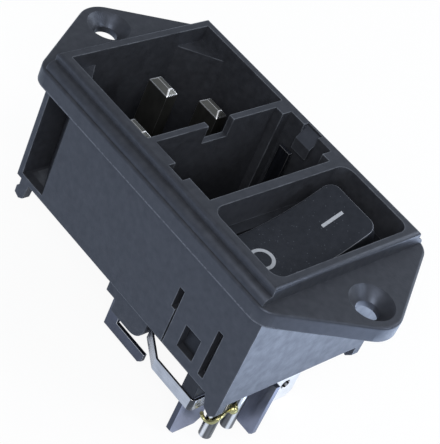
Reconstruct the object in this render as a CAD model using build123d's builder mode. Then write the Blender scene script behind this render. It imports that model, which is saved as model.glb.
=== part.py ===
"""Power entry module: appliance inlet, open fuse bay and two-pole rocker switch, in millimetres.

The frame: z = 0 is the panel seat (the flange's rear face), +Z points out of the front, X runs from
the inlet end to the switch end and Y runs across. The rocker is modelled in its off position.
"""

from math import cos, radians, sin, sqrt, tan
import os

from build123d import *

# Flange, ears and raised rim, measured outwards from the openings
rim_end_wall = 1.35
rim_side_wall = 1.35
rim_height = 2.5
rim_cove = 1.2
rim_round = 0.6
flange_end_lip = 0.9
flange_side_lip = 1.6
flange_thickness = 2.5
flange_corner = 3.0
edge_round = 0.4
ear_offset = 4.3
ear_radius = 4.4
screw_hole_diameter = 3.3
countersink_diameter = 6.4
countersink_angle = 90

# Body behind the flange
openings_offset = 0.1
body_inlet_wall = 1.15
body_switch_wall = 1.85
body_side_wall = 1.45
body_depth = 16.7

# Inlet recess and its three pins
inlet_length = 16.55
opening_width = 24.7
inlet_floor_thickness = 1.8
floor_recess = 0.7
bevel_leg = 4.9
bevel_below_rim = 2.55
corner_wall = 1.3
pin_width = 4.0
pin_thickness = 2.0
pin_spacing = 14.0
pin_stagger = 4.0
pin_tip_bevel = 0.7
live_tip_below_rim = 4.7
earth_tip_below_rim = 2.3
pin_slot_clearance = 0.02

# Fuse bay, its lower chamber and the boss around it
divider = 0.95
divider_gap_width = 4.6
divider_gap_depth = 3.0
bay_length = 11.2
bay_near_wall = 2.2
bay_far_wall = 3.4
bay_ledge_thickness = 1.2
latch_notch_length = 2.9
latch_notch_height = 4.0
near_notch_wall = 1.0
far_latch_wall = 0.8
far_notch_length = 8.35
far_notch_wall = 1.7
latch_ramp_below_rim = 0.4
latch_ramp_height = 1.8
latch_ramp_depth = 1.5
boss_inlet_step = 1.8
boss_switch_step = 0.85
boss_below_body = 6.2
boss_wall = 1.2
boss_side_wall = 0.6
boss_shoulder_length = 2.0
boss_shoulder_lift = 2.1
boss_round = 2.4

# Switch bay and its side walls
switch_divider = 1.4
switch_length = 12.8
opening_round = 1.7
seat_shoulder = 0.2
seat_height = 0.2
slit_width = 1.0
slit_top_depth = 7.1
slit_wide_length = 3.6
slit_line_width = 0.25
slit_lift = 1.3
tongue_start = 2.45
tongue_length = 7.0
window_start = 2.3
window_length = 3.1
window_top_depth = 10.9
window_height = 4.0
pocket_rib = 0.9
cut_margin = 1.0

# Profiles of the small legs and hooks behind the body's corners, as x and z from that corner
leg_profile = ((-2.9, 0), (-2.2, -1.95), (-0.9, -2.6), (0, -1.6), (0, 0))
hook_profile = ((2.8, 0), (2.4, -2.7), (1.6, -3.2), (0.6, -2.8), (0.6, -1.6), (1.0, -1.1), (1.0, 0))

# Switch body
fit_gap = 0.1
slot_gap = 0.05
switch_body_below = 1.6
switch_floor = 1.4
pit_length = 9.9
pit_end_wall = 1.6
foot_start = 1.65
foot_length = 2.4
foot_below = 1.2
foot_depth_inward = 6.5
pole_pitch = 5.1
pole_rib = 0.8
pole_rib_top_depth = 7.0
rib_end = 6.0
latch_recess = 1.0
latch_flat = 0.5
latch_lead = 1.0

# Rocker, plungers and springs
pivot_depth = 1.5
trunnion_radius = 1.25
trunnion_length = 1.0
trunnion_clearance = 0.05
rocker_side_gap = 0.25
rocker_end_inset = 1.45
rocker_centre_height = 3.0
rocker_dish = 8.0
rocker_tilt = 16.0
rocker_skirt_drop = 1.2
rocker_wall = 1.2
rocker_top = 1.5
rocker_corner = 1.6
rocker_edge = 0.25
stem_radius = 1.85
stem_drop = 5.2
socket_wall = 0.6
socket_rise = 1.2
plunger_clearance = 0.05
plunger_top_drop = 3.0
plunger_tip_clearance = 0.3
plunger_flat = 0.1
spring_wire = 0.3
spring_turns = 7

# Sheet metal
tab_thickness = 0.8
strip_thickness = 0.35
link_thickness = 0.6
tab_width = 4.8
tab_hole_diameter = 1.7
tab_hole_lift = 3.25
blade_corner = 0.9
earth_tab_length = 8.3
blade_reach = 10.1

# Fuse contacts
clip_gap = 0.05
clip_top_height = 0.8
feed_start = 1.25
feed_width = 2.1
link_height = 1.9
bar_overhang = 1.1
bar_height = 1.9
bar_gap = 1.68
bar_corner = 0.6
outlet_gap = 0.35
outlet_width = 2.1
strap_gap = 0.1
strap_height = 2.0
strap_corner = 0.5
strap_bend_start = 0.4
strap_leg_start = 0.4

# Switch contacts
arm_width = 3.0
arm_thickness = 0.6
arm_half_length = 7.2
arm_rise = 15.0
arm_tilt = 7.0
arm_top_depth = 10.1
arm_seat_gap = 0.05
contact_radius = 1.0
contact_height = 0.6
contact_bevel = 0.2
contact_reach = 6.2
contact_gap = 0.25
pad_length = 5.0
pad_width = 2.6
pad_end_gap = 0.55
neck_width = 2.6
cross_width = 2.0
fulcrum_offset = 2.0
neutral_blade_inset = 0.3
neutral_blade_width = 5.8
centre_blade_inset = 0.05
centre_blade_width = 3.4
centre_blade_shoulder = 1.5
centre_blade_corner = 0.4
line_blade_y = 5.9

# Solder posts and the brass wire, whose points are steps from the foot of each post
post_outer_y = 9.1
post_inner_y = 5.1
post_radius = 0.95
post_bore = 0.5
post_length = 9.2
wire_radius = 0.28
wire_from_outer = (
    (-0.85, -1.76, 4.3),
    (-0.3, -1.17, 3.26),
    (0.7, -1.04, 3.7),
    (1.08, -0.4, 4.7),
    (0.9, 0.5, 4.9),
)
wire_from_inner = ((0.46, -2.4, 4.4), (0.45, -1.1, 4.26))
wire_ball_radius = 0.75

# Openings, rim, flange and body, worked out from the sizes above
openings_length = inlet_length + divider + bay_length + switch_divider + switch_length
inlet_left = openings_offset - openings_length / 2
inlet_right = inlet_left + inlet_length
inlet_centre = inlet_left + inlet_length / 2
bay_left = inlet_right + divider
bay_right = bay_left + bay_length
switch_left = bay_right + switch_divider
switch_right = switch_left + switch_length
switch_centre = (switch_left + switch_right) / 2
rim_length = openings_length + 2 * rim_end_wall
rim_width = opening_width + 2 * rim_side_wall
rim_top = flange_thickness + rim_height
flange_length = rim_length + 2 * flange_end_lip
flange_width = rim_width + 2 * flange_side_lip
screw_pitch = flange_length + 2 * ear_offset
body_left = inlet_left - body_inlet_wall
body_right = switch_right + body_switch_wall
opening_half = opening_width / 2
body_half_width = opening_half + body_side_wall

# Inlet and fuse bay, worked out
floor_back = floor_recess - body_depth
inlet_floor_z = floor_back + inlet_floor_thickness
live_x = inlet_centre + pin_stagger / 2
earth_x = inlet_centre - pin_stagger / 2
bay_near_half = body_half_width - bay_near_wall
bay_far_half = body_half_width - bay_far_wall
bay_centre = (bay_left + bay_right) / 2
far_notch_half = body_half_width - far_notch_wall
far_latch_half = body_half_width - far_latch_wall
ledge_top = bay_ledge_thickness - body_depth
boss_left = bay_left + boss_inlet_step
boss_right = bay_right - boss_switch_step
boss_half = bay_near_half
boss_depth = body_depth + boss_below_body
link_outer = boss_half - boss_side_wall - clip_gap
feed_left = boss_left + feed_start
feed_right = feed_left + feed_width
bar_right = boss_right + bar_overhang
bar_depth = boss_depth + bar_gap + bar_height
outlet_face = bay_right - outlet_gap
outlet_outer = bay_far_half - fit_gap
outlet_inner = outlet_outer - outlet_width

# Switch bay, worked out
leg_inner = opening_half + seat_shoulder
tongue_left = switch_left + tongue_start
tongue_right = tongue_left + tongue_length
window_left = tongue_left + window_start
pit_left = switch_centre - pit_length / 2
pit_right = switch_centre + pit_length / 2
pit_half = opening_half - pit_end_wall
body_x = (switch_left - seat_shoulder + fit_gap, switch_right + seat_shoulder - fit_gap)
switch_half = opening_half + seat_shoulder - fit_gap
switch_body_depth = body_depth + switch_body_below
pit_floor = switch_floor - switch_body_depth
foot_left = switch_centre + foot_start
foot_right = foot_left + foot_length
foot_bottom = -switch_body_depth - foot_below
pole_left = switch_centre - pole_pitch / 2
pole_right = switch_centre + pole_pitch / 2
rocker_length = pit_length - 2 * rocker_side_gap
rocker_half_reach = pit_half - rocker_end_inset
socket_radius = stem_radius - socket_wall
arm_pivot_z = -arm_top_depth - arm_thickness
fulcrum_half = tab_thickness / 2
pad_outer = pit_half - pad_end_gap
neck_inner = neck_width - pad_outer
blade_tip_depth = switch_body_depth + blade_reach
line_blade_face = pit_right - fit_gap
strap_face = body_half_width + strap_gap
strap_z = (foot_bottom - strap_gap - strap_height, foot_bottom - strap_gap)
strap_leg_face = foot_right + strap_leg_start
post_x = strap_leg_face + slot_gap + post_radius
post_depth = switch_body_depth + post_length


def block(x, y, z, mode=Mode.ADD):
    """Adds or cuts a box between a low and a high limit on each axis."""
    with Locations((sum(x) / 2, sum(y) / 2, sum(z) / 2)):
        Box(x[1] - x[0], y[1] - y[0], z[1] - z[0], mode=mode)


def save(piece, name):
    """Labels a finished piece and writes its STEP file."""
    piece.label = name
    export_step(piece, f"parts/{name}.step")


os.makedirs("parts", exist_ok=True)

# Housing: flange with its two ears
with BuildPart() as housing:
    with BuildSketch() as flange_outline:
        Rectangle(flange_length, flange_width)
        with Locations((-screw_pitch / 2, 0), (screw_pitch / 2, 0)):
            Circle(ear_radius)
        make_hull()
        corners = flange_outline.vertices().group_by(Axis.Y)
        fillet(corners[0] + corners[-1], flange_corner)
    extrude(amount=flange_thickness)
    fillet(housing.faces().sort_by(Axis.Z)[-1].edges(), edge_round)
    block((-rim_length / 2, rim_length / 2), (-rim_width / 2, rim_width / 2), (0, rim_top))

    # Hollow cove along the foot of the rim's long walls
    for side in (-1, 1):
        with BuildSketch(Plane.YZ.offset(-rim_length / 2)):
            with BuildLine():
                top = (side * rim_width / 2, flange_thickness + rim_cove)
                foot = (side * (rim_width / 2 + rim_cove), flange_thickness)
                RadiusArc(top, foot, side * rim_cove)
                Polyline(foot, (side * rim_width / 2, flange_thickness), top)
            make_face()
        extrude(amount=rim_length)
    fillet(housing.faces().sort_by(Axis.Z)[-1].outer_wire().edges(), rim_round)

    # Solid body and the boss around the lower fuse chamber
    block((body_left, body_right), (-body_half_width, body_half_width), (-body_depth, 0))
    with BuildSketch(Plane.XZ.offset(-boss_half)):
        with BuildLine():
            Polyline(
                (boss_left, -body_depth + bay_ledge_thickness),
                (boss_left, boss_shoulder_lift - boss_depth),
                (boss_left + boss_shoulder_length, boss_shoulder_lift - boss_depth),
                (boss_left + boss_shoulder_length, -boss_depth),
                (boss_right, -boss_depth),
                (boss_right, -body_depth + bay_ledge_thickness),
                close=True,
            )
        make_face()
    extrude(amount=2 * boss_half)
    fillet(
        housing.edges().filter_by(Axis.Y).group_by(Axis.Z)[0].sort_by(Axis.X)[-1],
        boss_round,
    )

    # Inlet recess with the two bevelled corners on the earth side
    block((inlet_left, inlet_right), (-opening_half, opening_half), (inlet_floor_z, rim_top), Mode.SUBTRACT)
    for side in (-1, 1):
        with BuildSketch(Plane.XY.offset(inlet_floor_z)):
            with BuildLine():
                Polyline(
                    (inlet_left, side * opening_half),
                    (inlet_left + bevel_leg, side * opening_half),
                    (inlet_left, side * (opening_half - bevel_leg)),
                    close=True,
                )
            make_face()
        extrude(amount=rim_top - bevel_below_rim - inlet_floor_z)

    # Shallow hollow behind the inlet floor
    back_right = boss_left - corner_wall
    block(
        (body_left + corner_wall, back_right),
        (-body_half_width + corner_wall, body_half_width - corner_wall),
        (-body_depth, floor_back),
        Mode.SUBTRACT,
    )

    # Open pockets outside the bevelled corners, closed by a thin rib at the back
    pocket_left = body_left + pocket_rib
    pocket_line = opening_half - bevel_leg - inlet_left + corner_wall * sqrt(2)
    for side in (-1, 1):
        with BuildSketch(Plane.XY.offset(-body_depth + pocket_rib)):
            with BuildLine():
                Polyline(
                    (pocket_left, side * body_half_width),
                    (body_half_width - pocket_line, side * body_half_width),
                    (pocket_left, side * (pocket_line + pocket_left)),
                    close=True,
                )
            make_face()
        extrude(amount=body_depth - pocket_rib - corner_wall, mode=Mode.SUBTRACT)

    # Fuse bay, the notches in its long walls and the gap in the divider
    block((bay_left, bay_right), (-bay_near_half, bay_far_half), (ledge_top, rim_top), Mode.SUBTRACT)
    latch_notch = (bay_centre - latch_notch_length / 2, bay_centre + latch_notch_length / 2)
    latch_notch_z = (rim_top - latch_notch_height, rim_top)
    block(latch_notch, (near_notch_wall - body_half_width, -bay_near_half), latch_notch_z, Mode.SUBTRACT)
    far_notch = (bay_centre - far_notch_length / 2, bay_centre + far_notch_length / 2)
    block(far_notch, (bay_far_half, far_notch_half), (ledge_top, rim_top), Mode.SUBTRACT)
    block(latch_notch, (far_notch_half, far_latch_half), latch_notch_z, Mode.SUBTRACT)
    block(
        (inlet_right, bay_left),
        (-divider_gap_width / 2, divider_gap_width / 2),
        (rim_top - divider_gap_depth, rim_top),
        Mode.SUBTRACT,
    )
    block(
        (boss_left + boss_wall, boss_right - boss_wall),
        (-boss_half + boss_side_wall, boss_half - boss_side_wall),
        (boss_wall + boss_shoulder_lift - boss_depth, ledge_top),
        Mode.SUBTRACT,
    )

    # Latch ramp in the far notch, which would catch the drawer
    ramp_top = rim_top - latch_ramp_below_rim
    with BuildSketch(Plane.YZ.offset(latch_notch[0])):
        with BuildLine():
            Polyline(
                (far_latch_half, ramp_top),
                (far_latch_half - latch_ramp_depth, ramp_top - latch_ramp_height),
                (far_latch_half - latch_ramp_depth, latch_notch_z[0]),
                (far_latch_half, latch_notch_z[0]),
                close=True,
            )
        make_face()
    extrude(amount=latch_notch_length)

    # Switch bay: the front opening, and a slightly wider bore from the back that leaves a seat
    block((switch_left, switch_right), (-opening_half, opening_half), (-body_depth, rim_top), Mode.SUBTRACT)
    block(
        (switch_left - seat_shoulder, switch_right + seat_shoulder),
        (-opening_half - seat_shoulder, opening_half + seat_shoulder),
        (-body_depth, seat_height),
        Mode.SUBTRACT,
    )
    fillet(
        housing.edges().filter_by(Axis.Z).filter_by_position(Axis.Z, seat_height, rim_top).filter_by_position(
            Axis.X, switch_left - fit_gap, switch_right + fit_gap
        ),
        opening_round,
    )

    # Small legs at the switch end and hooks at the inlet end, one behind each corner
    for side in (-1, 1):
        y = sorted((side * body_half_width, side * leg_inner))
        for corner_x, profile in ((body_right, leg_profile), (body_left, hook_profile)):
            with BuildSketch(Plane.XZ.offset(-y[0])):
                with BuildLine():
                    Polyline([(corner_x + x, z - body_depth) for x, z in profile], close=True)
                make_face()
            extrude(amount=y[0] - y[1])

    # Two slits on each long side, one of them open below, leave a springy tongue with a latch window
    for side in (-1, 1):
        y = sorted((side * (body_half_width + cut_margin), side * (opening_half - cut_margin)))
        wide_end = -slit_top_depth - slit_wide_length
        block((tongue_left - slit_width, tongue_left), y, (wide_end, -slit_top_depth), Mode.SUBTRACT)
        block((tongue_left - slit_line_width, tongue_left), y, (-body_depth, wide_end), Mode.SUBTRACT)
        block((tongue_right, tongue_right + slit_width), y, (slit_lift - body_depth, -slit_top_depth), Mode.SUBTRACT)
        block(
            (window_left, window_left + window_length),
            y,
            (-window_top_depth - window_height, -window_top_depth),
            Mode.SUBTRACT,
        )

    # Slots for the three pins, the links and the clips
    for x, y in ((earth_x, 0), (live_x, -pin_spacing / 2), (live_x, pin_spacing / 2)):
        half_x = pin_width / 2 + pin_slot_clearance
        half_y = pin_thickness / 2 + pin_slot_clearance
        block((x - half_x, x + half_x), (y - half_y, y + half_y), (floor_back, inlet_floor_z), Mode.SUBTRACT)
    for side in (-1, 1):
        feed_y = sorted((side * (link_outer - link_thickness), side * link_outer))
        grown = (feed_y[0] - clip_gap, feed_y[1] + clip_gap)
        block((feed_left - clip_gap, feed_right + clip_gap), grown, (-boss_depth, ledge_top), Mode.SUBTRACT)
        block((boss_left, feed_left), grown, (-body_depth - link_height - clip_gap, -body_depth), Mode.SUBTRACT)
        out_y = sorted((side * outlet_inner, side * outlet_outer))
        out_x = (outlet_face - strip_thickness - clip_gap, outlet_face + clip_gap)
        block(out_x, (out_y[0] - clip_gap, out_y[1] + clip_gap), (-body_depth, ledge_top), Mode.SUBTRACT)

    # Ears: countersunk screw holes
    with Locations((-screw_pitch / 2, 0, flange_thickness), (screw_pitch / 2, 0, flange_thickness)):
        CounterSinkHole(screw_hole_diameter / 2, countersink_diameter / 2, counter_sink_angle=countersink_angle)
save(housing.part, "housing")

# Inlet pins: flat bars with bevelled tips
pin_places = {
    "earth_pin": (earth_x, 0, rim_top - earth_tip_below_rim),
    "neutral_pin": (live_x, pin_spacing / 2, rim_top - live_tip_below_rim),
    "line_pin": (live_x, -pin_spacing / 2, rim_top - live_tip_below_rim),
}
for pin_name, (x, y, tip) in pin_places.items():
    with BuildPart() as pin:
        block((x - pin_width / 2, x + pin_width / 2), (y - pin_thickness / 2, y + pin_thickness / 2), (-body_depth, tip))
        chamfer(pin.faces().sort_by(Axis.Z)[-1].edges(), pin_tip_bevel)
    save(pin.part, pin_name)

# Earth tab riveted under the earth pin
with BuildPart() as earth_tab:
    earth_tip_depth = body_depth + earth_tab_length
    foot_z = (-body_depth - tab_thickness, -body_depth)
    block((earth_x - pin_width / 2, earth_x + pin_width / 2), (-tab_width / 2, tab_width / 2), foot_z)
    blade_x = (earth_x - tab_thickness / 2, earth_x + tab_thickness / 2)
    block(blade_x, (-tab_width / 2, tab_width / 2), (-earth_tip_depth, foot_z[0]))
    chamfer(earth_tab.edges().filter_by(Axis.X).group_by(Axis.Z)[0], blade_corner)
    with Locations(Plane.YZ.offset(blade_x[1])):
        with Locations((0, tab_hole_lift - earth_tip_depth)):
            Hole(tab_hole_diameter / 2, depth=tab_thickness)
save(earth_tab.part, "earth_tab")

# Links from the two live pins to the fuse feed contacts, one on each side
for side, link_name in ((-1, "line_link"), (1, "neutral_link")):
    with BuildPart() as link:
        top_z = -body_depth
        plate_y = sorted((side * (pin_spacing / 2 - pin_thickness / 2), side * link_outer))
        block((live_x - pin_width / 2, live_x + pin_width / 2), plate_y, (top_z - link_thickness, top_z))
        run_y = sorted((side * (link_outer - link_thickness), side * link_outer))
        block((live_x - pin_width / 2, feed_left), run_y, (top_z - link_height, top_z))
    save(link.part, link_name)

# Fuse feed contacts: a clip in the bay, its leg through the boss and a bar behind it
for side, clip_name in ((-1, "line_feed_clip"), (1, "neutral_feed_clip")):
    with BuildPart() as clip:
        clip_y = sorted((side * (link_outer - link_thickness), side * link_outer))
        block((feed_left, feed_right), clip_y, (-bar_depth, clip_top_height))
        block((feed_left, bar_right), clip_y, (-bar_depth, bar_height - bar_depth))
        chamfer(clip.edges().filter_by(Axis.Y).group_by(Axis.Z)[0].sort_by(Axis.X)[-1], bar_corner)
    save(clip.part, clip_name)

# Fuse outlet straps: a clip in the bay, then a folded strip along the body and round its corner
outlet_x = outlet_face - strip_thickness / 2
for side, strap_name in ((-1, "neutral_strap"), (1, "line_strap")):
    leg_x = strap_leg_face - strip_thickness / 2 if side < 0 else pole_left
    leg_end = -fulcrum_offset - fulcrum_half if side < 0 else fulcrum_half
    with BuildPart() as strap:
        with BuildSketch(Plane.XY.offset(strap_z[0])):
            with BuildLine() as strap_path:
                FilletPolyline(
                    (outlet_x, side * outlet_inner),
                    (outlet_x, side * (outlet_outer + strap_corner)),
                    (tongue_left + strap_bend_start, side * (strap_face - strip_thickness / 2)),
                    (leg_x, side * (strap_face - strip_thickness / 2)),
                    (leg_x, leg_end),
                    radius=strap_corner,
                )
            trace(strap_path.line, strip_thickness)
        extrude(amount=strap_height)
        clip_y = sorted((side * outlet_inner, side * outlet_outer))
        block((outlet_face - strip_thickness, outlet_face), clip_y, (strap_z[0], clip_top_height))
    save(strap.part, strap_name)

# Switch body: an open box with a foot under each long wall and a rib between the poles
with BuildPart() as switch_body:
    block(body_x, (-switch_half, switch_half), (-switch_body_depth, seat_height))
    for side in (-1, 1):
        inner_y = sorted((side * foot_depth_inward, side * switch_half))
        block((foot_left, foot_right), inner_y, (foot_bottom, -switch_body_depth))
        outer_y = sorted((side * switch_half, side * (body_half_width - fit_gap)))
        block((foot_left, foot_right), outer_y, (foot_bottom, -body_depth - fit_gap))

        # Latch wedge that snaps into the housing's window
        lug_low = fit_gap - window_top_depth - window_height
        with BuildSketch(Plane.YZ.offset(window_left + fit_gap)):
            with BuildLine():
                Polyline(
                    (side * switch_half, lug_low),
                    (side * (body_half_width - latch_recess), lug_low),
                    (side * (body_half_width - latch_recess), lug_low + latch_flat),
                    (side * switch_half, lug_low + window_height - latch_lead),
                    close=True,
                )
            make_face()
        extrude(amount=window_length - 2 * fit_gap)
    block((pit_left, pit_right), (-pit_half, pit_half), (pit_floor, seat_height), Mode.SUBTRACT)
    rib_x = (switch_centre - pole_rib / 2, switch_centre + pole_rib / 2)
    block(rib_x, (-pit_half, rib_end), (pit_floor, -pole_rib_top_depth))

    # Bores for the rocker's two trunnions
    with BuildSketch(Plane.YZ.offset(switch_centre - rocker_length / 2 - trunnion_length - fit_gap)):
        with Locations((0, -pivot_depth)):
            Circle(trunnion_radius + trunnion_clearance)
    extrude(amount=rocker_length + 2 * (trunnion_length + fit_gap), mode=Mode.SUBTRACT)

    # Slots in the floor for the four terminals
    slot_z = (foot_bottom, pit_floor)
    for pole_x in (pole_left, pole_right):
        post_x_span = (pole_x - arm_width / 2 - slot_gap, pole_x + arm_width / 2 + slot_gap)
        block(post_x_span, (-fulcrum_half - slot_gap, fulcrum_half + slot_gap), slot_z, Mode.SUBTRACT)
    neck_x = (pole_right - fulcrum_half - slot_gap, pole_right + fulcrum_half + slot_gap)
    block(neck_x, (-pad_outer - slot_gap, neck_inner + slot_gap), slot_z, Mode.SUBTRACT)
    line_x = (line_blade_face - tab_thickness - slot_gap, line_blade_face + slot_gap)
    line_y = (line_blade_y - tab_width / 2 - slot_gap, line_blade_y + tab_width / 2 + slot_gap)
    block(line_x, line_y, slot_z, Mode.SUBTRACT)
save(switch_body.part, "switch_body")

# Rocker: a dished button with a hollow underside, two trunnions and two sockets
pivot = Vector(switch_centre, 0, -pivot_depth)
tilt = radians(rocker_tilt)
rocker_up = Vector(0, -sin(tilt), cos(tilt))
rocker_across = Vector(0, cos(tilt), sin(tilt))
end_rise = rocker_centre_height + rocker_half_reach * tan(radians(rocker_dish))
end_radius = sqrt(rocker_half_reach**2 + end_rise**2)


def rocker_profile(centre, rise, radius):
    """Draws the rocker's side profile about its pivot: dished top and two round ends."""
    top_reach = sqrt(radius**2 - rise**2)
    foot_reach = sqrt(radius**2 - rocker_skirt_drop**2)
    with BuildSketch() as profile:
        with BuildLine():
            ThreePointArc((-top_reach, rise), (0, centre), (top_reach, rise))
            ThreePointArc((top_reach, rise), (radius, 0), (foot_reach, -rocker_skirt_drop))
            Line((foot_reach, -rocker_skirt_drop), (-foot_reach, -rocker_skirt_drop))
            ThreePointArc((-foot_reach, -rocker_skirt_drop), (-radius, 0), (-top_reach, rise))
        make_face()
    return profile.sketch


rocker_side = Plane(
    origin=pivot - Vector(rocker_length / 2, 0, 0), x_dir=rocker_across, z_dir=(1, 0, 0)
)
with BuildPart() as rocker:
    with BuildSketch(rocker_side):
        add(rocker_profile(rocker_centre_height, end_rise, end_radius))
    extrude(amount=rocker_length)
    round_edges = rocker.edges().filter_by(GeomType.CIRCLE)
    fillet(
        round_edges.filter_by(lambda edge: abs((edge.center() - pivot).dot(rocker_across)) > stem_radius),
        rocker_corner,
    )
    top_face = rocker.faces().sort_by(lambda face: (face.center() - pivot).dot(rocker_up))[-1]
    fillet(top_face.edges(), rocker_edge)
    with BuildSketch(rocker_side.offset(rocker_wall)):
        add(rocker_profile(rocker_centre_height - rocker_top, end_rise - rocker_top, end_radius - rocker_wall))
    extrude(amount=rocker_length - 2 * rocker_wall, mode=Mode.SUBTRACT)
    stem_top = rocker_centre_height - rocker_top / 2
    for pole_x in (pole_left, pole_right):
        stem_foot = Vector(pole_x, 0, -pivot_depth) - rocker_up * stem_drop
        with BuildSketch(Plane(origin=stem_foot, x_dir=(1, 0, 0), z_dir=rocker_up)):
            Circle(stem_radius)
        extrude(amount=stem_drop + stem_top)
        with BuildSketch(Plane(origin=stem_foot, x_dir=(1, 0, 0), z_dir=rocker_up)):
            Circle(socket_radius)
        extrude(amount=stem_drop + socket_rise, mode=Mode.SUBTRACT)
    for way in (-1, 1):
        with BuildSketch(Plane.YZ.offset(switch_centre + way * rocker_length / 2)):
            with Locations((0, -pivot_depth)):
                Circle(trunnion_radius)
        extrude(amount=way * trunnion_length)
save(rocker.part, "rocker")

# Spring plungers in the rocker's sockets, and their coil springs
plunger_radius = socket_radius - plunger_clearance
plunger_tip = arm_top_depth - pivot_depth - plunger_tip_clearance
coil_radius = plunger_radius - spring_wire / 2 - plunger_clearance
for pole_name, pole_x in (("line", pole_left), ("neutral", pole_right)):
    axis_point = Vector(pole_x, 0, -pivot_depth)
    with BuildPart() as plunger:
        with BuildSketch(Plane(origin=axis_point - rocker_up * plunger_top_drop, x_dir=(1, 0, 0), z_dir=-rocker_up)):
            Circle(plunger_radius)
        extrude(amount=plunger_tip - plunger_top_drop)
        fillet(plunger.edges().sort_by(Axis.Z)[0], plunger_radius - plunger_flat)
    save(plunger.part, f"{pole_name}_plunger")

    coil_base = axis_point - rocker_up * (plunger_top_drop - spring_wire / 2)
    coil_height = plunger_top_drop + socket_rise - spring_wire
    with BuildPart() as spring:
        with BuildLine() as coil:
            Helix(
                pitch=coil_height / spring_turns,
                height=coil_height,
                radius=coil_radius,
                center=coil_base,
                direction=rocker_up,
            )
        with BuildSketch(Plane(origin=coil.line @ 0, z_dir=coil.line % 0)):
            Circle(spring_wire / 2)
        sweep(path=coil.line)
    save(spring.part, f"{pole_name}_spring")

# Seesaw contact arms, tilted to the open side, with a contact button under one end
arm_turn = radians(arm_tilt)
arm_slope = tan(radians(arm_rise))
arm_across = Vector(0, cos(arm_turn), -sin(arm_turn))
arm_up = Vector(0, sin(arm_turn), cos(arm_turn))
end_height = arm_half_length * arm_slope
for pole_name, pole_x in (("line", pole_left), ("neutral", pole_right)):
    arm_pivot = Vector(pole_x, 0, arm_pivot_z)
    arm_side = Plane(
        origin=arm_pivot - Vector(arm_width / 2, 0, 0), x_dir=arm_across, z_dir=(1, 0, 0)
    )
    with BuildPart() as arm:
        with BuildSketch(arm_side):
            with BuildLine():
                Polyline(
                    (-arm_half_length, end_height),
                    (0, 0),
                    (arm_half_length, end_height),
                    (arm_half_length, end_height + arm_thickness),
                    (0, arm_thickness),
                    (-arm_half_length, end_height + arm_thickness),
                    close=True,
                )
            make_face()
        extrude(amount=arm_width)
    save(arm.part, f"{pole_name}_arm")

    button_base = arm_pivot - arm_across * contact_reach + arm_up * (contact_reach * arm_slope)
    button_way = -(arm_across * sin(radians(arm_rise)) + arm_up * cos(radians(arm_rise)))
    with BuildPart() as button:
        with BuildSketch(Plane(origin=button_base, x_dir=(1, 0, 0), z_dir=button_way)):
            Circle(contact_radius)
        extrude(amount=contact_height)
        chamfer(button.faces().sort_by(Axis.Z)[0].edges(), contact_bevel)
    save(button.part, f"{pole_name}_moving_contact")

# Fixed contacts, each on the pad of its outlet terminal
closed_rise = contact_reach * tan(radians(arm_rise - arm_tilt))
pad_top = arm_pivot_z + closed_rise - 2 * contact_height - contact_gap
pad_z = (pad_top - tab_thickness, pad_top)
pad_y = (-pad_outer, pad_length - pad_outer)
for pole_name, pole_x in (("line", pole_left), ("neutral", pole_right)):
    with BuildPart() as fixed:
        with BuildSketch(Plane.XY.offset(pad_top)):
            with Locations((pole_x, -contact_reach)):
                Circle(contact_radius)
        extrude(amount=contact_height)
        chamfer(fixed.faces().sort_by(Axis.Z)[-1].edges(), contact_bevel)
    save(fixed.part, f"{pole_name}_fixed_contact")

# Neutral outlet terminal: pad, neck through the floor and a flat blade behind
with BuildPart() as neutral_terminal:
    neck_x = (pole_right - fulcrum_half, pole_right + fulcrum_half)
    block((pole_right - pad_width / 2, pole_right + pad_width / 2), pad_y, pad_z)
    block(neck_x, (-pad_outer, neck_inner), (foot_bottom, pad_z[0]))
    blade_outer = neutral_blade_inset - body_half_width
    blade_y = (blade_outer, blade_outer + neutral_blade_width)
    block(neck_x, blade_y, (-blade_tip_depth, foot_bottom))
    chamfer(neutral_terminal.edges().filter_by(Axis.X).group_by(Axis.Z)[0], blade_corner)
save(neutral_terminal.part, "neutral_outlet_tab")

# Line outlet terminal: pad, a run along the pit floor and a blade at the far side
with BuildPart() as line_terminal:
    floor_z = (pit_floor, pit_floor + tab_thickness)
    run_x = (pit_left + slot_gap, pole_left - arm_width / 2 - slot_gap)
    cross_y = (rib_end + slot_gap, rib_end + slot_gap + cross_width)
    block((pole_left - pad_width / 2, pole_left + pad_width / 2), pad_y, pad_z)
    block((run_x[0], pole_left + pad_width / 2), (-pad_outer, tab_thickness - pad_outer), (pit_floor, pad_z[1]))
    block(run_x, (-pad_outer, cross_y[1]), floor_z)
    block((run_x[0], line_blade_face), cross_y, floor_z)
    blade_x = (line_blade_face - tab_thickness, line_blade_face)
    blade_y = (line_blade_y - tab_width / 2, line_blade_y + tab_width / 2)
    block(blade_x, blade_y, (-blade_tip_depth, floor_z[1]))
    chamfer(line_terminal.edges().filter_by(Axis.X).group_by(Axis.Z)[0], blade_corner)
    with BuildSketch(Plane.YZ.offset(blade_x[0])):
        with Locations((line_blade_y, tab_hole_lift - blade_tip_depth)):
            Circle(tab_hole_diameter / 2)
    extrude(amount=tab_thickness, mode=Mode.SUBTRACT)
save(line_terminal.part, "line_outlet_tab")

# Fulcrum posts that carry the arms; the neutral one ends in a blade beside the end wall
fulcrum_top = arm_pivot_z - arm_seat_gap
with BuildPart() as line_fulcrum:
    post_span = (pole_left - arm_width / 2, pole_left + arm_width / 2)
    block(post_span, (-fulcrum_half, fulcrum_half), (strap_z[0], fulcrum_top))
save(line_fulcrum.part, "line_fulcrum")

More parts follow.
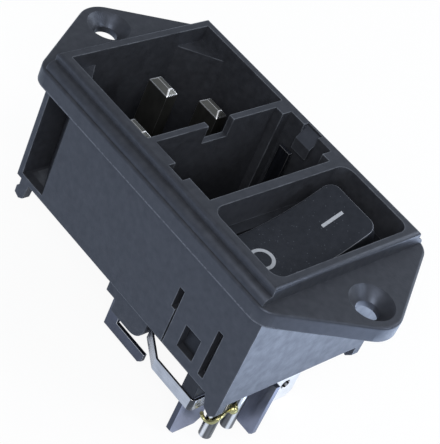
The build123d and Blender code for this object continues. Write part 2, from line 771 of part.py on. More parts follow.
with BuildPart() as neutral_fulcrum:
    post_span = (pole_right - arm_width / 2, pole_right + arm_width / 2)
    block(post_span, (-fulcrum_half, fulcrum_half), (-switch_body_depth, fulcrum_top))
    jog_z = (-switch_body_depth - tab_thickness, -switch_body_depth)
    blade_y = (-fulcrum_offset - fulcrum_half, fulcrum_half - fulcrum_offset)
    blade_right = body_right - centre_blade_inset
    blade_x = (blade_right - centre_blade_width, blade_right)
    block((post_span[0], blade_x[0]), (blade_y[0], fulcrum_half), jog_z)
    block((blade_x[0] - centre_blade_shoulder, blade_x[1]), blade_y, (strap_z[0], jog_z[1]))
    block(blade_x, blade_y, (-blade_tip_depth, strap_z[0]))
    chamfer(neutral_fulcrum.edges().filter_by(Axis.Y).group_by(Axis.Z)[0], centre_blade_corner)
save(neutral_fulcrum.part, "neutral_fulcrum")

# Hollow solder posts behind the switch body
for post_name, post_y in (("outer_post", -post_outer_y), ("inner_post", -post_inner_y)):
    with BuildPart() as post:
        with BuildSketch(Plane.XY.offset(-post_depth)):
            with Locations((post_x, post_y)):
                Circle(post_radius)
                Circle(post_bore, mode=Mode.SUBTRACT)
        extrude(amount=post_depth - switch_body_depth)
    save(post.part, post_name)

# Brass wire that bows from one post to the other and ends in a solder ball
outer_foot = Vector(post_x, -post_outer_y, -post_depth)
inner_foot = Vector(post_x, -post_inner_y, -post_depth)
wire_points = [outer_foot + step for step in wire_from_outer] + [inner_foot + step for step in wire_from_inner]
with BuildPart() as bridge_wire:
    with BuildLine() as bow:
        Spline(*wire_points)
    with BuildSketch(Plane(origin=bow.line @ 0, z_dir=bow.line % 0)):
        Circle(wire_radius)
    sweep(path=bow.line)
    with Locations(wire_points[-1]):
        Sphere(wire_ball_radius)
    for post_y in (-post_outer_y, -post_inner_y):
        with Locations((post_x, post_y, -post_depth)):
            Cylinder(post_radius, 2 * post_depth, mode=Mode.SUBTRACT)
save(bridge_wire.part, "bridge_wire")
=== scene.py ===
from math import asin, cos, pi, radians, sin

import bmesh
import bpy
from mathutils import Matrix, Vector


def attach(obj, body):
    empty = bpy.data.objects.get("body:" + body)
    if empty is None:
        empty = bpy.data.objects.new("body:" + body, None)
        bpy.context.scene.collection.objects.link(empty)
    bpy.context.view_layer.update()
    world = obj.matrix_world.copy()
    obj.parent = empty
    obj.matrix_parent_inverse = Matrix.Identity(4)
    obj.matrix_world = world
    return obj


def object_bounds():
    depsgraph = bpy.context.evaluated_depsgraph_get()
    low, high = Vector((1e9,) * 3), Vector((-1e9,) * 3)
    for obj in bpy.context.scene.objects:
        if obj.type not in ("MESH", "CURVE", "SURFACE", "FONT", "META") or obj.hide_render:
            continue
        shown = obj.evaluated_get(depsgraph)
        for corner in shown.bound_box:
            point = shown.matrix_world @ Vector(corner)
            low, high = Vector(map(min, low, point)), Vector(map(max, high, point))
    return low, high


bl_info = {
    "name": "Power entry module",
    "version": (1, 0, 0),
    "blender": (4, 5, 0),
    "location": "View3D > Sidebar > Power entry",
    "description": "Dresses a power entry module in moulded plastic and plated metal",
    "category": "Object",
}

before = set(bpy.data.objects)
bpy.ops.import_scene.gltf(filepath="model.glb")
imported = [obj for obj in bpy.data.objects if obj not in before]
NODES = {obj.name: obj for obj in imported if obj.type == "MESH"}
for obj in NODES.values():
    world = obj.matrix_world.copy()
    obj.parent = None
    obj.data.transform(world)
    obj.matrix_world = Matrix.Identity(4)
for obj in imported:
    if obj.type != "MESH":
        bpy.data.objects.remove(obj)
cad_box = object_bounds()

# The rocker's pivot and rest tilt, and where its top face lies about that pivot
PIVOT = Vector((0.01515, 0, -0.0015))
ROCKER_TILT = radians(16)
ROCKER_UP = (0, -sin(ROCKER_TILT), cos(ROCKER_TILT))
ROCKER_DISH_RADIUS = 0.03374
ROCKER_CENTRE = 0.003
RING_STEPS = 64

# Softened edges: how near two corners are joined first, and from which angle an edge is rounded
JOIN_DISTANCE = 0.000002
SOFTENED_ANGLE = radians(35)
SOFTENED_SEGMENTS = 2

# Texture scales, per metre
MOTTLE_SCALE = 1100
GLOSS_SCALE = 700
PATCH_SCALE = 500
FLASH_SCALE = 2500
PRINT_SCALE = 2500
STAIN_SCALE = 350

# Plastic: the tint of its sheen, how strong its grain and how pale its dust is, how far the painted corner
# highlights reach from a corner, and the paler tones of the painted highlights on corners and the rocker's
# edge
PLASTIC_SHEEN = (0.66, 0.76, 1.0, 1)
GRAIN_STRENGTH = 0.5
DUST_LIGHTNESS = 7
HIGHLIGHT_REACH = 0.00024
HIGHLIGHT_SAMPLES = 8
CORNER_HIGHLIGHT_TONE = (0.13, 0.14, 0.16)
ROCKER_EDGE_HIGHLIGHT_TONE = (0.22, 0.23, 0.26)

# The mould line: its height, half its width, the wall that it runs on and its tone
FLASH_HEIGHT = 0.0001
FLASH_HALF_WIDTH = 0.00012
FLASH_WALL = -0.0129
FLASH_TONE = (0.08, 0.085, 0.1)

# Painted shade and painted reflections on plate, by which way a face turns: a direction, and ramp stops
# from faces turned away from it to faces turned to it
PAINTED_EDGE_SHADE = ((1, 0, 0), ((0.1, 1.0), (0.3, 0.25), (0.7, 0.25), (0.9, 1.0)))
# Painted shade: faces that turn up and to the front go nearly black, as a hole in shade
PAINTED_FRONT_SHADE = ((0, -0.707, 0.707), ((0.87, 1.0), (0.9, 0.03), (0.965, 0.03), (0.99, 0.5)))
# Painted shade on the strap's bend, on faces that turn to +X and -Y
PAINTED_BEND_SHADE = ((0.707, -0.707, 0), ((0.9, 1.0), (0.93, 0.15)))
# Painted reflections: dark and bright stripes round the solder posts, by which way each face turns
PAINTED_REFLECTION_STRIPES = (
    (0.12, 0.04), (0.24, 1.0), (0.37, 0.9), (0.48, 0.13), (0.7, 0.2), (0.82, 0.08), (1.0, 0.04),
)
OUTER_POST_REFLECTIONS = ((0.83, 0.55, 0), PAINTED_REFLECTION_STRIPES)
INNER_POST_REFLECTIONS = ((-0.83, -0.55, 0), PAINTED_REFLECTION_STRIPES)
STREAK_DEPTH = 0.000006

# Floor: half its width, its drop below the module, the painted shadow under the module that reflections
# see, how quickly that fades per metre, and the share of the glow
FLOOR_HALF = 3
FLOOR_DROP = 0.0001
REFLECTED_SHADOW_PATCH = (0.022, 0.013, 0)
PATCH_FADE = 80
FLOOR_GLOW_SHARE = 0.92

# Daylight: its colours at the horizon and overhead, and its strength
SKY_HORIZON = (0.78, 0.87, 1.0)
SKY_OVERHEAD = (0.74, 0.75, 0.75)
SKY_STRENGTH = 0.5

# Camera: place in metres, turn in degrees, lens and sensor in millimetres
CAMERA_PLACE = (0.0943825, -0.1408555, 0.1283256)
CAMERA_TURN = (48.28299, -19.24559, 49.48828)
CAMERA_LENS = 129.97
CAMERA_SENSOR = 36
CAMERA_NEAR = 0.01


class ModuleSizes(bpy.types.PropertyGroup):
    """Sizes of the details that are added to the frame."""

    edge: bpy.props.FloatProperty(
        name="Moulded edge",
        description="Rounding of the housing's edges",
        default=0.00012,
        unit="LENGTH",
    )
    sheet_edge: bpy.props.FloatProperty(
        name="Sheet edge",
        description="Rounding of the stamped metal's edges",
        default=0.00005,
        unit="LENGTH",
    )
    mark_height: bpy.props.FloatProperty(
        name="Mark height",
        description="How far the printed marks stand off the rocker",
        default=0.00002,
        unit="LENGTH",
    )
    bar_length: bpy.props.FloatProperty(
        name="On bar length",
        description="Length of the on mark",
        default=0.0034,
        unit="LENGTH",
    )
    stroke: bpy.props.FloatProperty(
        name="Mark stroke",
        description="Line width of both marks",
        default=0.0005,
        unit="LENGTH",
    )
    ring_diameter: bpy.props.FloatProperty(
        name="Off ring",
        description="Outer diameter of the off mark",
        default=0.0036,
        unit="LENGTH",
    )
    bar_place: bpy.props.FloatProperty(
        name="On bar place",
        description="Distance from the pivot to the on mark",
        default=0.0056,
        unit="LENGTH",
    )
    ring_place: bpy.props.FloatProperty(
        name="Off ring place",
        description="Distance from the pivot to the off mark",
        default=0.00625,
        unit="LENGTH",
    )


class ModuleColours(bpy.types.PropertyGroup):
    """Colours of the plastic and metal pieces and of the floor."""

    housing: bpy.props.FloatVectorProperty(
        name="Housing",
        description="Moulded plastic of the housing",
        subtype="COLOR",
        size=3,
        default=(0.024, 0.025, 0.029),
    )
    rocker: bpy.props.FloatVectorProperty(
        name="Rocker",
        description="Plastic of the rocker",
        subtype="COLOR",
        size=3,
        default=(0.013, 0.014, 0.017),
    )
    mark: bpy.props.FloatVectorProperty(
        name="Marks",
        description="Printed marks on the rocker",
        subtype="COLOR",
        size=3,
        default=(0.36, 0.38, 0.42),
    )
    pin: bpy.props.FloatVectorProperty(
        name="Pins",
        description="Nickel plate of the inlet pins",
        subtype="COLOR",
        size=3,
        default=(0.16, 0.16, 0.15),
    )
    tab: bpy.props.FloatVectorProperty(
        name="Tabs",
        description="Dull plate of the terminals",
        subtype="COLOR",
        size=3,
        default=(0.235, 0.25, 0.32),
    )
    bright: bpy.props.FloatVectorProperty(
        name="Bright tab",
        description="Fresh plate of the line outlet tab",
        subtype="COLOR",
        size=3,
        default=(0.9, 0.9, 0.92),
    )
    strap: bpy.props.FloatVectorProperty(
        name="Straps",
        description="Bright plate of the folded straps",
        subtype="COLOR",
        size=3,
        default=(0.54, 0.54, 0.56),
    )
    post: bpy.props.FloatVectorProperty(
        name="Posts",
        description="Plate of the solder posts",
        subtype="COLOR",
        size=3,
        default=(0.85, 0.86, 0.9),
    )
    wire: bpy.props.FloatVectorProperty(
        name="Wire",
        description="Brass of the bridge wire",
        subtype="COLOR",
        size=3,
        default=(0.42, 0.39, 0.19),
    )
    spring: bpy.props.FloatVectorProperty(
        name="Springs",
        description="Steel of the coil springs",
        subtype="COLOR",
        size=3,
        default=(0.45, 0.45, 0.47),
    )
    plunger: bpy.props.FloatVectorProperty(
        name="Plungers",
        description="Plastic of the spring plungers",
        subtype="COLOR",
        size=3,
        default=(0.55, 0.55, 0.5),
    )
    arm: bpy.props.FloatVectorProperty(
        name="Arms",
        description="Copper of the contact arms",
        subtype="COLOR",
        size=3,
        default=(0.5, 0.32, 0.2),
    )
    contact: bpy.props.FloatVectorProperty(
        name="Contacts",
        description="Silver of the contacts",
        subtype="COLOR",
        size=3,
        default=(0.7, 0.7, 0.68),
    )
    backdrop: bpy.props.FloatVectorProperty(
        name="Backdrop",
        description="Floor and backdrop",
        subtype="COLOR",
        size=3,
        default=(0.85, 0.86, 0.88),
    )
    glow: bpy.props.FloatVectorProperty(
        name="Floor glow",
        description="Floor as reflections see it",
        subtype="COLOR",
        size=3,
        default=(0.74, 0.84, 1.0),
    )


def new_material(name):
    """A new node material, with its node tree, its shader and its coordinates."""
    material = bpy.data.materials.new(name)
    material.use_nodes = True
    tree = material.node_tree
    shader = tree.nodes["Principled BSDF"]
    coords = tree.nodes.new("ShaderNodeTexCoord")
    return material, tree, shader, coords


def math_node(tree, kind, operation, values):
    """A math node whose inputs are numbers, vectors or sockets."""
    node = tree.nodes.new(kind)
    node.operation = operation
    for socket, value in zip(node.inputs, values):
        if isinstance(value, bpy.types.NodeSocket):
            tree.links.new(value, socket)
        else:
            socket.default_value = value
    return node


def computed(tree, operation, *values):
    """The result of a math operation."""
    return math_node(tree, "ShaderNodeMath", operation, values).outputs["Value"]


def vector_computed(tree, operation, *values):
    """The result of a vector operation that gives a vector."""
    return math_node(tree, "ShaderNodeVectorMath", operation, values).outputs["Vector"]


def turned_to(tree, coords, direction):
    """How far a face is turned to a direction, from -1 to 1."""
    values = (coords.outputs["Normal"], direction)
    return math_node(tree, "ShaderNodeVectorMath", "DOT_PRODUCT", values).outputs["Value"]


def noise(tree, vector, scale, detail=2.0, stretch=None):
    """A noise texture on object coordinates, stretched along an axis where one is given."""
    if stretch:
        mapping = tree.nodes.new("ShaderNodeMapping")
        mapping.inputs["Scale"].default_value = stretch
        tree.links.new(vector, mapping.inputs["Vector"])
        vector = mapping.outputs["Vector"]
    texture = tree.nodes.new("ShaderNodeTexNoise")
    texture.inputs["Scale"].default_value = scale
    texture.inputs["Detail"].default_value = detail
    tree.links.new(vector, texture.inputs["Vector"])
    return texture.outputs["Fac"]


def ramp(tree, value, stops):
    """A colour ramp from (position, grey or colour) stops."""
    node = tree.nodes.new("ShaderNodeValToRGB")
    elements = node.color_ramp.elements
    while len(elements) < len(stops):
        elements.new(0.5)
    for element, (place, colour) in zip(elements, stops):
        element.position = place
        element.color = (*colour, 1) if isinstance(colour, tuple) else (colour, colour, colour, 1)
    tree.links.new(value, node.inputs["Fac"])
    return node.outputs["Color"]


def mixed(tree, factor, low, high):
    """A colour mix; low and high are colours or sockets."""
    node = tree.nodes.new("ShaderNodeMix")
    node.data_type = "RGBA"
    for socket, source in ((node.inputs["A"], low), (node.inputs["B"], high)):
        if isinstance(source, bpy.types.NodeSocket):
            tree.links.new(source, socket)
        else:
            socket.default_value = (*source, 1)
    tree.links.new(factor, node.inputs["Factor"])
    return node.outputs["Result"]


def mixed_shader(tree, factor, low, high):
    """A shader mix, low where the factor is 0 and high where it is 1."""
    node = tree.nodes.new("ShaderNodeMixShader")
    for socket, source in zip(node.inputs, (factor, low, high)):
        tree.links.new(source, socket)
    return node.outputs[0]


def bumped(tree, shader, height, strength, distance):
    """Bump from a height socket."""
    node = tree.nodes.new("ShaderNodeBump")
    node.inputs["Strength"].default_value = strength
    node.inputs["Distance"].default_value = distance
    tree.links.new(height, node.inputs["Height"])
    tree.links.new(node.outputs["Normal"], shader.inputs["Normal"])


def scaled(colour, factor):
    """A colour made lighter or darker."""
    return tuple(min(1.0, channel * factor) for channel in colour)


def flash_line(tree, coords, base):
    """A faint broken mould line along the near wall, under the flange."""
    place = coords.outputs["Object"]
    axes = tree.nodes.new("ShaderNodeSeparateXYZ")
    tree.links.new(place, axes.inputs["Vector"])
    at_height = computed(tree, "COMPARE", axes.outputs["Z"], FLASH_HEIGHT, FLASH_HALF_WIDTH)
    on_wall = computed(tree, "LESS_THAN", axes.outputs["Y"], FLASH_WALL)
    broken = ramp(tree, noise(tree, place, FLASH_SCALE, 3), ((0.38, 0.0), (0.5, 1.0)))
    share = computed(tree, "MULTIPLY", computed(tree, "MULTIPLY", at_height, on_wall), broken)
    return mixed(tree, share, base, FLASH_TONE)


def painted_corner_highlights(tree, coords, base):
    """Painted highlights: paler lines along the outer corners, where rays sent into the plastic soon come
    out again, broken into patches.
    """
    inward = tree.nodes.new("ShaderNodeAmbientOcclusion")
    inward.inside = True
    inward.samples = HIGHLIGHT_SAMPLES
    inward.inputs["Distance"].default_value = HIGHLIGHT_REACH
    corner = ramp(tree, inward.outputs["AO"], ((0.5, 1.0), (0.82, 0.0)))
    patches = ramp(tree, noise(tree, coords.outputs["Object"], PATCH_SCALE, 3), ((0.35, 0.25), (0.6, 1.0)))
    return mixed(tree, computed(tree, "MULTIPLY", corner, patches), base, CORNER_HIGHLIGHT_TONE)


def painted_rocker_edge_highlight(tree, coords, base):
    """A painted highlight: a paler line where the rocker's top rolls over into its sides."""
    slope = turned_to(tree, coords, ROCKER_UP)
    share = ramp(tree, slope, ((0.68, 0.0), (0.75, 1.0), (0.8, 1.0), (0.87, 0.0)))
    return mixed(tree, share, base, ROCKER_EDGE_HIGHLIGHT_TONE)


def moulded_plastic(
    name, colour, rough=(0.38, 0.5), grain=2600, grain_depth=0.00002, dust=0.0, dust_size=900, shine=0.6,
    lines_and_highlights=(),
):
    """Moulded plastic: faint mottling, fine grain and, where asked, specks of pale dust, a mould line and
    painted edge highlights.
    """
    material, tree, shader, coords = new_material(name)
    place = coords.outputs["Object"]
    mottle = ramp(tree, noise(tree, place, MOTTLE_SCALE, 4), ((0.3, 0.0), (0.7, 1.0)))
    base = mixed(tree, mottle, scaled(colour, 0.8), scaled(colour, 1.22))
    if dust:
        cells = tree.nodes.new("ShaderNodeTexVoronoi")
        cells.inputs["Scale"].default_value = dust_size
        tree.links.new(place, cells.inputs["Vector"])
        specks = ramp(tree, cells.outputs["Distance"], ((dust * 0.6, 1.0), (dust, 0.0)))
        base = mixed(tree, specks, base, scaled(colour, DUST_LIGHTNESS))
    # The overlays paint the mould line and the painted highlights onto the colour
    for overlay in lines_and_highlights:
        base = overlay(tree, coords, base)
    tree.links.new(base, shader.inputs["Base Color"])
    shader.inputs["Specular IOR Level"].default_value = shine
    shader.inputs["Specular Tint"].default_value = PLASTIC_SHEEN
    gloss = ramp(tree, noise(tree, place, GLOSS_SCALE, 2), ((0.3, rough[0]), (0.7, rough[1])))
    tree.links.new(gloss, shader.inputs["Roughness"])
    bumped(tree, shader, noise(tree, place, grain, 3), GRAIN_STRENGTH, grain_depth)
    return material


def plated_metal(
    name, colour, rough=(0.22, 0.4), stretch=(1, 1, 0.08), streak=3000, tarnish=0.7, relief=0.3,
    metallic=1.0, tone=None,
):
    """Plated metal: streaks along one axis, a little tarnish and, where a tone is given, painted shade and
    painted reflections on faces by which way they turn.
    """
    material, tree, shader, coords = new_material(name)
    place = coords.outputs["Object"]
    shader.inputs["Metallic"].default_value = metallic
    streaks = noise(tree, place, streak, 4, stretch)
    stains = ramp(tree, noise(tree, place, STAIN_SCALE, 4), ((0.35, 0.0), (0.65, 1.0)))
    worn = mixed(tree, stains, scaled(colour, tarnish), colour)
    base = mixed(tree, streaks, worn, scaled(colour, 1.15))
    if tone:
        direction, stops = tone
        facing = computed(tree, "MULTIPLY_ADD", turned_to(tree, coords, direction), 0.5, 0.5)
        base = mixed(tree, ramp(tree, facing, stops), (0, 0, 0), base)
    tree.links.new(base, shader.inputs["Base Color"])
    gloss = ramp(tree, streaks, ((0.3, rough[0]), (0.7, rough[1])))
    tree.links.new(gloss, shader.inputs["Roughness"])
    bumped(tree, shader, streaks, relief, STREAK_DEPTH)
    return material


def finish(node_names, material, edge=0.0, edge_highlight=None):
    """Gives CAD nodes a material and softens their sharp edges, with paler plate painted on the rounded
    edges as a highlight where asked.
    """
    for node_name in node_names:
        node = NODES[node_name]
        node.data.materials.clear()
        node.data.materials.append(material)
        if edge:
            weld = node.modifiers.new("Joined_corners", "WELD")
            weld.merge_threshold = JOIN_DISTANCE
            bevel = node.modifiers.new("Soft_edges", "BEVEL")
            bevel.width = edge
            bevel.segments = SOFTENED_SEGMENTS
            bevel.limit_method = "ANGLE"
            bevel.angle_limit = SOFTENED_ANGLE
            bevel.harden_normals = True
            if edge_highlight:
                node.data.materials.append(edge_highlight)
                bevel.material = 1


def mesh_piece(name, bm, material, body):
    """Turns a bmesh into a piece that rides on a body."""
    mesh = bpy.data.meshes.new(name)
    bmesh.ops.recalc_face_normals(bm, faces=bm.faces)
    bm.normal_update()
    bm.to_mesh(mesh)
    bm.free()
    piece = bpy.data.objects.new(name, mesh)
    bpy.context.scene.collection.objects.link(piece)
    mesh.materials.append(material)
    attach(piece, body)
    return piece


def on_rocker(across, side, lift):
    """A point on the rocker's dished top: side along X and across from the pivot, lifted off the face."""
    slope = asin(across / ROCKER_DISH_RADIUS)
    up = ROCKER_CENTRE + ROCKER_DISH_RADIUS * (1 - cos(slope))
    local = Vector((side, across - lift * sin(slope), up + lift * cos(slope)))
    return PIVOT + Matrix.Rotation(ROCKER_TILT, 3, "X") @ local


def bar_mark(sizes):
    """The on mark, a thin bar along the rocker."""
    half, stroke = sizes.bar_length / 2, sizes.stroke / 2
    bm = bmesh.new()
    low, high = [], []
    for across, side in ((-half, -stroke), (half, -stroke), (half, stroke), (-half, stroke)):
        low.append(bm.verts.new(on_rocker(sizes.bar_place + across, side, -sizes.mark_height)))
        high.append(bm.verts.new(on_rocker(sizes.bar_place + across, side, sizes.mark_height)))
    bm.faces.new(high)
    bm.faces.new(low[::-1])
    for i in range(len(low)):
        j = (i + 1) % len(low)
        bm.faces.new((low[i], low[j], high[j], high[i]))
    return bm


def ring_mark(sizes):
    """The off mark, a thin flat ring."""
    outer = sizes.ring_diameter / 2
    inner = outer - sizes.stroke
    height = sizes.mark_height
    bm = bmesh.new()
    rings = []
    for radius, lift in ((outer, -height), (outer, height), (inner, height), (inner, -height)):
        ring = []
        for i in range(RING_STEPS):
            turn = 2 * pi * i / RING_STEPS
            across = radius * sin(turn) - sizes.ring_place
            ring.append(bm.verts.new(on_rocker(across, radius * cos(turn), lift)))
        rings.append(ring)
    for here, there in zip(rings, rings[1:] + rings[:1]):
        for i in range(RING_STEPS):
            j = (i + 1) % RING_STEPS
            bm.faces.new((here[i], here[j], there[j], there[i]))
    return bm


def floor_material(colours):
    """A matt floor that the camera and reflections see glowing, and that is clear from underneath."""
    material = bpy.data.materials.new("Pale_floor")
    material.use_nodes = True
    tree = material.node_tree
    tree.nodes.remove(tree.nodes["Principled BSDF"])
    matt = tree.nodes.new("ShaderNodeBsdfDiffuse")
    matt.inputs["Color"].default_value = (*colours.backdrop, 1)
    glow = tree.nodes.new("ShaderNodeEmission")
    path = tree.nodes.new("ShaderNodeLightPath")
    tint = mixed(tree, path.outputs["Is Glossy Ray"], (1, 1, 1), colours.glow)
    tree.links.new(tint, glow.inputs["Color"])

    # Reflections see the floor bright all round, with a painted shadow right under the module
    coords = tree.nodes.new("ShaderNodeTexCoord")
    apart = vector_computed(tree, "ABSOLUTE", coords.outputs["Object"])
    apart = vector_computed(tree, "SUBTRACT", apart, REFLECTED_SHADOW_PATCH)
    axes = tree.nodes.new("ShaderNodeSeparateXYZ")
    tree.links.new(apart, axes.inputs["Vector"])
    away = computed(tree, "MAXIMUM", axes.outputs["X"], axes.outputs["Y"])
    faded = ramp(tree, computed(tree, "MULTIPLY_ADD", away, PATCH_FADE, 0.5), ((0.2, 0.06), (0.95, 1.0)))
    mirrored = computed(tree, "MULTIPLY", path.outputs["Is Glossy Ray"], faded)
    seen = computed(tree, "MAXIMUM", path.outputs["Is Camera Ray"], mirrored)
    seen = computed(tree, "MAXIMUM", seen, path.outputs["Is Transmission Ray"])
    share = computed(tree, "MULTIPLY", seen, FLOOR_GLOW_SHARE)
    from_above = mixed_shader(tree, share, matt.outputs[0], glow.outputs[0])

    clear = tree.nodes.new("ShaderNodeBsdfTransparent")
    facing = tree.nodes.new("ShaderNodeNewGeometry")
    surface = mixed_shader(tree, facing.outputs["Backfacing"], from_above, clear.outputs[0])
    tree.links.new(surface, tree.nodes["Material Output"].inputs["Surface"])
    return material


def lay_floor(scene, colours):
    """Lays a wide floor just under the module."""
    height = cad_box[0][2] - FLOOR_DROP
    bm = bmesh.new()
    for x, y in ((-1, -1), (1, -1), (1, 1), (-1, 1)):
        bm.verts.new((x * FLOOR_HALF, y * FLOOR_HALF, height))
    bm.faces.new(bm.verts)
    mesh = bpy.data.meshes.new("floor")
    bm.to_mesh(mesh)
    bm.free()
    floor = bpy.data.objects.new("floor", mesh)
    scene.collection.objects.link(floor)
    mesh.materials.append(floor_material(colours))


def hang_sky(scene):
    """Soft daylight, bluish at the horizon, which the camera sees as plain white."""
    world = bpy.data.worlds.new("Studio")
    scene.world = world
    world.use_nodes = True
    tree = world.node_tree
    sky = tree.nodes["Background"]
    around = tree.nodes.new("ShaderNodeTexCoord")
    height = tree.nodes.new("ShaderNodeSeparateXYZ")
    tree.links.new(around.outputs["Generated"], height.inputs["Vector"])
    colour = ramp(tree, height.outputs["Z"], ((0.35, SKY_HORIZON), (0.85, SKY_OVERHEAD)))
    tree.links.new(colour, sky.inputs["Color"])
    sky.inputs["Strength"].default_value = SKY_STRENGTH
    white = tree.nodes.new("ShaderNodeBackground")
    white.inputs["Color"].default_value = (1, 1, 1, 1)
    white.inputs["Strength"].default_value = 1.0
    path = tree.nodes.new("ShaderNodeLightPath")
    surface = mixed_shader(tree, path.outputs["Is Camera Ray"], sky.outputs[0], white.outputs[0])
    tree.links.new(surface, tree.nodes["World Output"].inputs["Surface"])


def hang_lamps(scene):
    """Hangs soft lamps round the module, and one that shines up from the floor behind it."""
    low = cad_box[0][2]
    middle = (0, 0, 0)
    for name, place, aim, size, power, colour in (
        ("Floor_light", (0.08, 0.055, low), (0.08, 0.055, 1), (0.1, 0.12), 0.1, (0.66, 0.78, 1.0)),
        ("Edge_light", (0.377, 0.17, 0.275), middle, (0.15, 0.15), 0.7, (0.9, 0.95, 1.0)),
        ("Back_light", (0.1, 0.5, 0.3), middle, (0.35, 0.35), 1.2, (0.9, 0.95, 1.0)),
        ("Front_light", (0.3, -0.45, 0.45), middle, (0.35, 0.35), 3.5, (1.0, 1.0, 1.0)),
    ):
        lamp = bpy.data.lights.new(name, "AREA")
        lamp.shape = "RECTANGLE"
        lamp.size, lamp.size_y = size
        lamp.energy = power
        lamp.color = colour
        light = bpy.data.objects.new(name, lamp)
        light.location = place
        light.rotation_euler = (Vector(aim) - light.location).to_track_quat("-Z", "Y").to_euler()
        light.visible_camera = False
        scene.collection.objects.link(light)


def place_camera(scene):
    """Places the camera at the photograph's viewing angle."""
    view = bpy.data.cameras.new("Camera")
    view.sensor_width = CAMERA_SENSOR
    view.lens = CAMERA_LENS
    view.clip_start = CAMERA_NEAR
    camera = bpy.data.objects.new("Camera", view)
    camera.location = CAMERA_PLACE
    camera.rotation_euler = [radians(turn) for turn in CAMERA_TURN]
    scene.collection.objects.link(camera)
    scene.camera = camera
    scene.view_settings.view_transform = "Standard"


class FinishHousing(bpy.types.Operator):
    """Gives the housing and the switch body their moulded plastic"""

    bl_idname = "module.finish_housing"
    bl_label = "Finish the housing"

    def execute(self, context):
        sizes, colours = context.scene.module_sizes, context.scene.module_colours
        # The housing's paler outer corners are painted highlights
        plastic = moulded_plastic("Housing_plastic", colours.housing, lines_and_highlights=(painted_corner_highlights, flash_line))
        finish(["housing"], plastic, sizes.edge)
        inner = moulded_plastic("Switch_plastic", scaled(colours.housing, 0.5), shine=0.3)
        finish(["switch_body"], inner, sizes.edge)
        return {"FINISHED"}


class FinishRocker(bpy.types.Operator):
    """Gives the rocker its textured plastic with specks of dust and a painted highlight along its top edge
    """

    bl_idname = "module.finish_rocker"
    bl_label = "Finish the rocker"

    def execute(self, context):
        colours = context.scene.module_colours
        plastic = moulded_plastic(
            "Rocker_plastic", colours.rocker, (0.42, 0.55), grain=3800, grain_depth=0.00003,
            dust=0.12, dust_size=1900, shine=0.45, lines_and_highlights=(painted_rocker_edge_highlight,),
        )
        finish(["rocker"], plastic)
        return {"FINISHED"}


class PrintMarks(bpy.types.Operator):
    """Prints the on bar and the off ring on the rocker's two halves"""

    bl_idname = "module.print_marks"
    bl_label = "Print the rocker's marks"

    def execute(self, context):
        sizes, colours = context.scene.module_sizes, context.scene.module_colours
        material, tree, shader, coords = new_material("Mark_print")
        rubs = ramp(tree, noise(tree, coords.outputs["Object"], PRINT_SCALE, 3), ((0.3, 0.75), (0.6, 1.0)))
        colour = mixed(tree, rubs, scaled(colours.mark, 0.7), colours.mark)
        tree.links.new(colour, shader.inputs["Base Color"])
        shader.inputs["Roughness"].default_value = 0.6
        mesh_piece("on_bar", bar_mark(sizes), material, "rocker")
        mesh_piece("off_ring", ring_mark(sizes), material, "rocker")
        return {"FINISHED"}


class FinishPins(bpy.types.Operator):
    """Plates the inlet's three pins"""

    bl_idname = "module.finish_pins"
    bl_label = "Finish the pins"

    def execute(self, context):
        sizes, colours = context.scene.module_sizes, context.scene.module_colours
        plate = plated_metal(
            "Pin_plate", colours.pin, (0.3, 0.4), (1, 1, 0.5), streak=1200, tarnish=0.85, relief=0.05,
            metallic=0.95,
        )
        # Paler plate on the pins' rounded edges: a painted edge highlight
        edge_highlight = plated_metal("Pin_edge_highlight", scaled(colours.bright, 0.8), (0.35, 0.45), tarnish=0.9)
        finish(["earth_pin", "line_pin", "neutral_pin"], plate, sizes.edge, edge_highlight)
        return {"FINISHED"}


class FinishTerminals(bpy.types.Operator):
    """Plates the stamped terminals, links and feed clips"""

    bl_idname = "module.finish_terminals"
    bl_label = "Finish the terminals"

    def execute(self, context):
        sizes, colours = context.scene.module_sizes, context.scene.module_colours
        rough = (0.3, 0.45)
        plate = plated_metal("Tab_plate", colours.tab, rough)
        names = ["earth_tab", "line_link", "neutral_link", "line_fulcrum", "neutral_fulcrum"]
        finish(names, plate, sizes.sheet_edge)
        # A lit copy of the tab plate, lighter all over, with painted shade on its faces that do not turn
        # along X
        pale = plated_metal("Lit_tab_plate", scaled(colours.tab, 1.4), rough, tone=PAINTED_EDGE_SHADE)
        finish(["neutral_outlet_tab"], pale, sizes.sheet_edge)
        # A shaded copy of the tab plate, darker all over: painted shade on the feed clips
        shaded_clip_plate = plated_metal("Shaded_clip_plate", scaled(colours.tab, 0.45), rough)
        # Paler plate on the feed clips' rounded edges: a painted edge highlight
        edge_highlight = plated_metal("Clip_edge_highlight", scaled(colours.bright, 0.6), (0.35, 0.45), tarnish=0.9)
        finish(["line_feed_clip", "neutral_feed_clip"], shaded_clip_plate, sizes.sheet_edge, edge_highlight)
        # The line outlet tab's faces that turn up and to the front get painted shade
        bright = plated_metal("Bright_plate", colours.bright, rough, tarnish=0.9, tone=PAINTED_FRONT_SHADE)
        finish(["line_outlet_tab"], bright, sizes.sheet_edge)
        return {"FINISHED"}


class FinishStraps(bpy.types.Operator):
    """Gives the folded straps their bright plate"""

    bl_idname = "module.finish_straps"
    bl_label = "Finish the straps"

    def execute(self, context):
        sizes, colours = context.scene.module_sizes, context.scene.module_colours
        # The strap's bend gets painted shade
        plate = plated_metal(
            "Strap_plate", colours.strap, (0.18, 0.32), (0.1, 0.1, 1), tarnish=0.6, tone=PAINTED_BEND_SHADE
        )
        finish(["line_strap", "neutral_strap"], plate, sizes.sheet_edge)
        return {"FINISHED"}


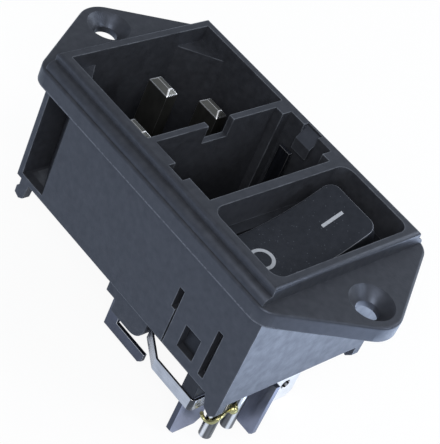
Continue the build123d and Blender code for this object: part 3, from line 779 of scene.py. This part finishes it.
class FinishPosts(bpy.types.Operator):
    """Plates the solder posts and colours the brass wire"""

    bl_idname = "module.finish_posts"
    bl_label = "Finish the posts and the wire"

    def execute(self, context):
        sizes, colours = context.scene.module_sizes, context.scene.module_colours
        # The posts' stripes are painted reflections
        for name, tone in (("outer_post", OUTER_POST_REFLECTIONS), ("inner_post", INNER_POST_REFLECTIONS)):
            plate = plated_metal(name.title() + "_plate", colours.post, (0.1, 0.2), relief=0.1, tone=tone)
            finish([name], plate, sizes.sheet_edge)
        finish(["bridge_wire"], plated_metal("Wire_brass", colours.wire, (0.25, 0.4)))
        return {"FINISHED"}


class FinishInside(bpy.types.Operator):
    """Finishes the springs, plungers, arms and contacts inside the switch"""

    bl_idname = "module.finish_inside"
    bl_label = "Finish the inner pieces"

    def execute(self, context):
        colours = context.scene.module_colours
        finish(["line_spring", "neutral_spring"], plated_metal("Spring_steel", colours.spring, (0.2, 0.3)))
        finish(["line_plunger", "neutral_plunger"], moulded_plastic("Plunger_plastic", colours.plunger))
        copper = plated_metal("Arm_copper", colours.arm, (0.25, 0.4), (1, 0.1, 1))
        finish(["line_arm", "neutral_arm"], copper)
        contacts = [
            "line_moving_contact", "neutral_moving_contact", "line_fixed_contact", "neutral_fixed_contact",
        ]
        finish(contacts, plated_metal("Contact_silver", colours.contact, (0.2, 0.35)))
        return {"FINISHED"}


class SetStage(bpy.types.Operator):
    """Lays the floor, hangs the lights and places the camera"""

    bl_idname = "module.set_stage"
    bl_label = "Set the stage"

    def execute(self, context):
        scene = context.scene
        lay_floor(scene, scene.module_colours)
        hang_sky(scene)
        hang_lamps(scene)
        place_camera(scene)
        return {"FINISHED"}


OPERATORS = (
    FinishHousing,
    FinishRocker,
    PrintMarks,
    FinishPins,
    FinishTerminals,
    FinishStraps,
    FinishPosts,
    FinishInside,
    SetStage,
)


class ModulePanel(bpy.types.Panel):
    """Lists the settings and the steps that dress the module"""

    bl_idname = "VIEW3D_PT_power_entry"
    bl_label = "Power entry module"
    bl_space_type = "VIEW_3D"
    bl_region_type = "UI"
    bl_category = "Power entry"

    def draw(self, context):
        for group in (context.scene.module_sizes, context.scene.module_colours):
            for key in group.__annotations__:
                self.layout.prop(group, key)
        for operator in OPERATORS:
            self.layout.operator(operator.bl_idname)


CLASSES = (ModuleSizes, ModuleColours, *OPERATORS, ModulePanel)


def register():
    """Registers the classes and hangs the settings on the scene."""
    for cls in CLASSES:
        bpy.utils.register_class(cls)
    bpy.types.Scene.module_sizes = bpy.props.PointerProperty(type=ModuleSizes)
    bpy.types.Scene.module_colours = bpy.props.PointerProperty(type=ModuleColours)


def unregister():
    """Takes the settings and the classes away again."""
    del bpy.types.Scene.module_colours
    del bpy.types.Scene.module_sizes
    for cls in reversed(CLASSES):
        bpy.utils.unregister_class(cls)


def main():
    """Dresses the module."""
    register()
    bpy.ops.module.finish_housing()
    bpy.ops.module.finish_rocker()
    bpy.ops.module.print_marks()
    bpy.ops.module.finish_pins()
    bpy.ops.module.finish_terminals()
    bpy.ops.module.finish_straps()
    bpy.ops.module.finish_posts()
    bpy.ops.module.finish_inside()
    bpy.ops.module.set_stage()


if __name__ == "__main__":
    main()
